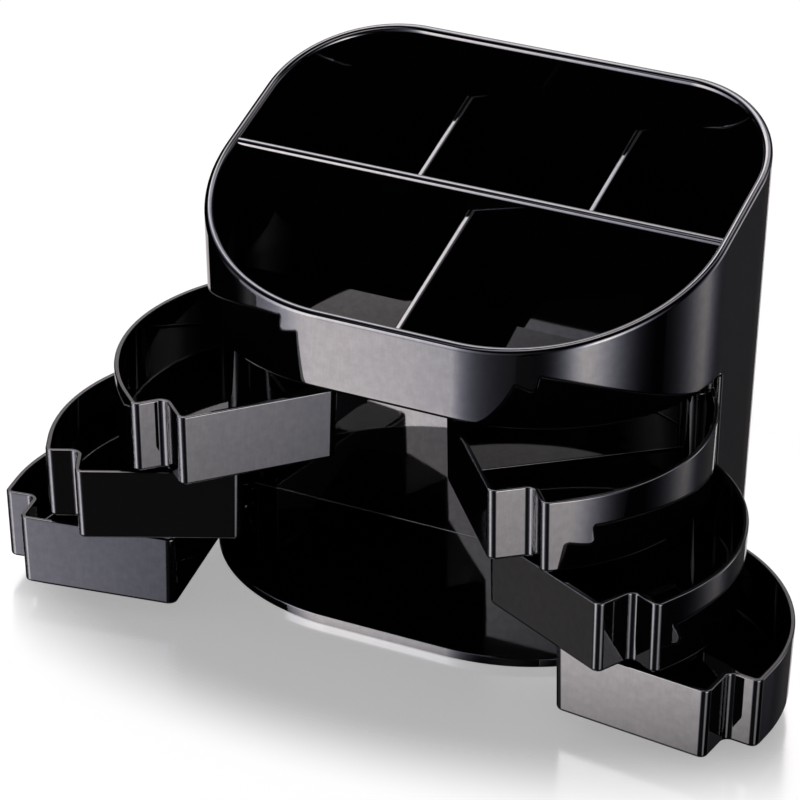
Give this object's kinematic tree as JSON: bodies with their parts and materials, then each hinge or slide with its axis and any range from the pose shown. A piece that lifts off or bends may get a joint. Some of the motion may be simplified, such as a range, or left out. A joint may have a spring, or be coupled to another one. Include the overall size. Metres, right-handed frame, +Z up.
{
  "type": "desk organizer",
  "caption": "Glossy desk organizer with rear pen wells, divided front trays and stacked drawers that swing out on corner hinges.",
  "frame": {"origin": "middle of the underside of the foam pad, in the plane of the desk", "axes": "+Z up, -Y towards the front with the drawers and the low rim, +X to the right seen from the front"},
  "size_m": [0.264, 0.1662, 0.1541],
  "materials": {
    "housing": "high gloss black",
    "base": "high gloss black",
    "drawer": "gloss black",
    "rod": "drawn steel",
    "washer": "plain black",
    "foam": "matte foam"
  },
  "bodies": {
    "organizer": {"body_shell": "housing", "mid_wall": "housing", "tray_floor": "housing", "front_divider": "housing", "left_well_divider": "housing", "right_well_divider": "housing", "base_plate": "base", "base_pad": "foam", "right_hinge_rod": "rod", "left_hinge_rod": "rod", "right_lower_spacer": "washer", "right_upper_spacer": "washer", "left_lower_spacer": "washer", "left_upper_spacer": "washer"},
    "right_bottom_drawer": {"right_bottom_drawer": "drawer"},
    "right_middle_drawer": {"right_middle_drawer": "drawer"},
    "right_top_drawer": {"right_top_drawer": "drawer"},
    "left_bottom_drawer": {"left_bottom_drawer": "drawer"},
    "left_middle_drawer": {"left_middle_drawer": "drawer"},
    "left_top_drawer": {"left_top_drawer": "drawer"}
  },
  "joints": [
    {"name": "right_bottom_drawer_hinge", "type": "hinge", "parent": "organizer", "child": "right_bottom_drawer", "pos_m": [0.08118, -0.00709, 0], "axis": [0, 0, 1], "range_deg": [-83.9, 16.1]},
    {"name": "right_middle_drawer_hinge", "type": "hinge", "parent": "organizer", "child": "right_middle_drawer", "pos_m": [0.08118, -0.00709, 0], "axis": [0, 0, 1], "range_deg": [-63.3, 36.7]},
    {"name": "right_top_drawer_hinge", "type": "hinge", "parent": "organizer", "child": "right_top_drawer", "pos_m": [0.08118, -0.00709, 0], "axis": [0, 0, 1], "range_deg": [-39.3, 60.7]},
    {"name": "left_bottom_drawer_hinge", "type": "hinge", "parent": "organizer", "child": "left_bottom_drawer", "pos_m": [-0.08118, -0.00709, 0], "axis": [0, 0, -1], "range_deg": [-80.9, 19.1]},
    {"name": "left_middle_drawer_hinge", "type": "hinge", "parent": "organizer", "child": "left_middle_drawer", "pos_m": [-0.08118, -0.00709, 0], "axis": [0, 0, -1], "range_deg": [-65, 35]},
    {"name": "left_top_drawer_hinge", "type": "hinge", "parent": "organizer", "child": "left_top_drawer", "pos_m": [-0.08118, -0.00709, 0], "axis": [0, 0, -1], "range_deg": [-42.6, 57.4]}
  ]
}
